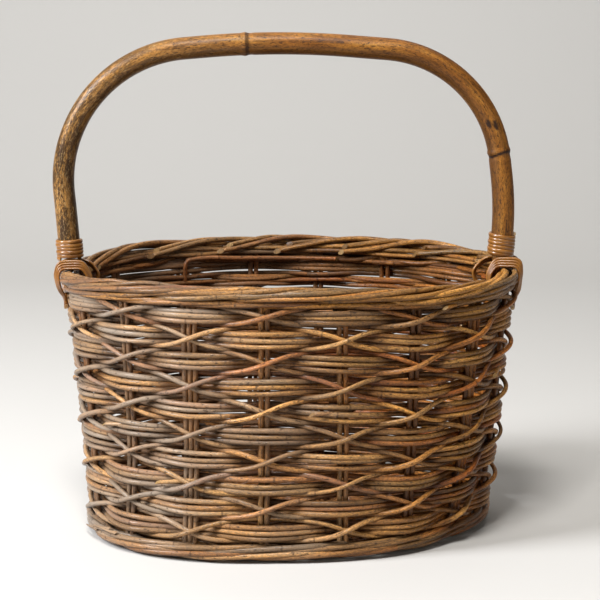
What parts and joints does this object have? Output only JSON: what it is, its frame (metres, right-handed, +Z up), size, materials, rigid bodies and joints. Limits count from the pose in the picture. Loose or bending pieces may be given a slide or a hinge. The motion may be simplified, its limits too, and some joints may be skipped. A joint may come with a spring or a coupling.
{
  "type": "woven market basket",
  "caption": "Oval open basket woven from rods around upright stakes, with a rolled rim and a fixed hoop handle bent from one rattan pole and lashed on with cane",
  "frame": {"origin": "on the floor, under the centre of the basket", "axes": "+X along the basket towards the right foot of the handle, +Y towards the back, +Z up"},
  "size_m": [0.3847, 0.2708, 0.4088],
  "materials": {
    "weave": "weathered brown rods with a worn satin varnish, streaked and speckled",
    "stake": "dark brown rods with a satin varnish",
    "rim": "honey brown rods with a satin varnish",
    "pole": "varnished rattan pole, orange brown with dark mottling",
    "cane": "split cane, honey orange and glossy"
  },
  "bodies": {
    "root": {"base_cross_sticks": "stake", "base_long_sticks": "stake", "base_mat": "weave", "cross_pair_01": "weave", "cross_pair_02": "weave", "cross_pair_03": "weave", "cross_pair_04": "weave", "cross_pair_05": "weave", "cross_pair_06": "weave", "cross_pair_07": "weave", "cross_pair_08": "weave", "cross_pair_09": "weave", "cross_pair_10": "weave", "foot_wale": "weave", "handle_binding_left": "cane", "handle_binding_right": "cane", "handle_pole": "pole", "lashing_left_back": "cane", "lashing_left_front": "cane", "lashing_right_back": "cane", "lashing_right_front": "cane", "rim_border": "rim", "stake_pair_01": "stake", "stake_pair_02": "stake", "stake_pair_03": "stake", "stake_pair_04": "stake", "stake_pair_05": "stake", "stake_pair_06": "stake", "stake_pair_07": "stake", "stake_pair_08": "stake", "stake_pair_09": "stake", "stake_pair_10": "stake", "stake_pair_11": "stake", "stake_pair_12": "stake", "stake_pair_13": "stake", "stake_pair_14": "stake", "stake_pair_15": "stake", "stake_pair_16": "stake", "top_wale": "rim", "weave_row_01": "weave", "weave_row_02": "weave", "weave_row_03": "weave", "weave_row_04": "weave", "weave_row_05": "weave", "weave_row_06": "weave", "weave_row_07": "weave", "weave_row_08": "weave", "weave_row_09": "weave", "weave_row_10": "weave"}
  },
  "joints": []
}
